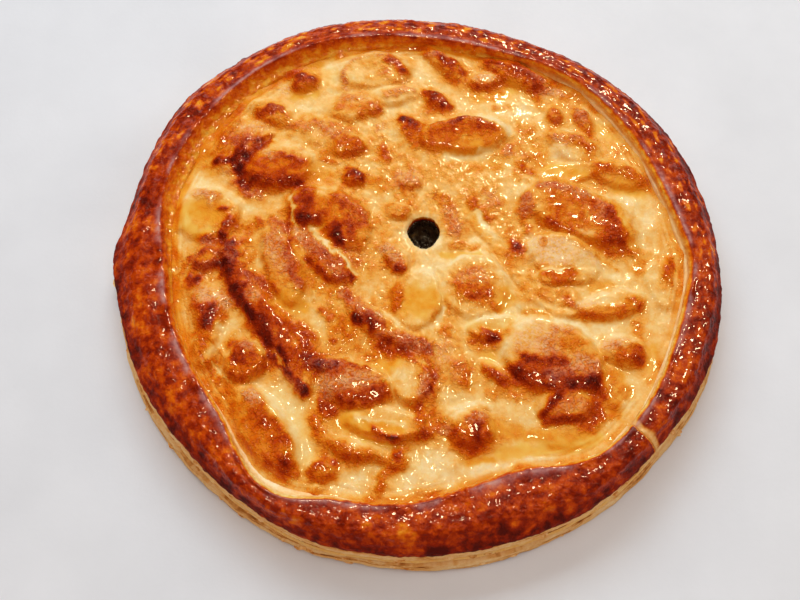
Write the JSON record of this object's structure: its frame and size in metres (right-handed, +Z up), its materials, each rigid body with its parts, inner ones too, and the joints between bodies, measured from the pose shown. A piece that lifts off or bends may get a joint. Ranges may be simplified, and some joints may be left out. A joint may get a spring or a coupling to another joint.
{
  "type": "puff pastry pie",
  "caption": "Round covered puff pastry pie: flaky base, raised glazed band round the edge, browned lid draped over sliced filling and a round steam vent.",
  "frame": {"origin": "middle of the pie's outline on the table it rests on", "axes": "+Z up through the lid, +Y to the back of the picture's view, +X to its right"},
  "size_m": [0.2837, 0.2757, 0.0282],
  "materials": {
    "base_pastry": "dry flaky baked puff pastry",
    "filling": "moist cooked slices",
    "lid_pastry": "egg glazed pastry, cream to dark brown",
    "band_pastry": "egg glazed pastry baked deep brown, pale flaky layers below"
  },
  "bodies": {
    "root": {"bottom_crust": "base_pastry", "filling": "filling", "lid": "lid_pastry", "rim_band": "band_pastry"}
  },
  "joints": []
}
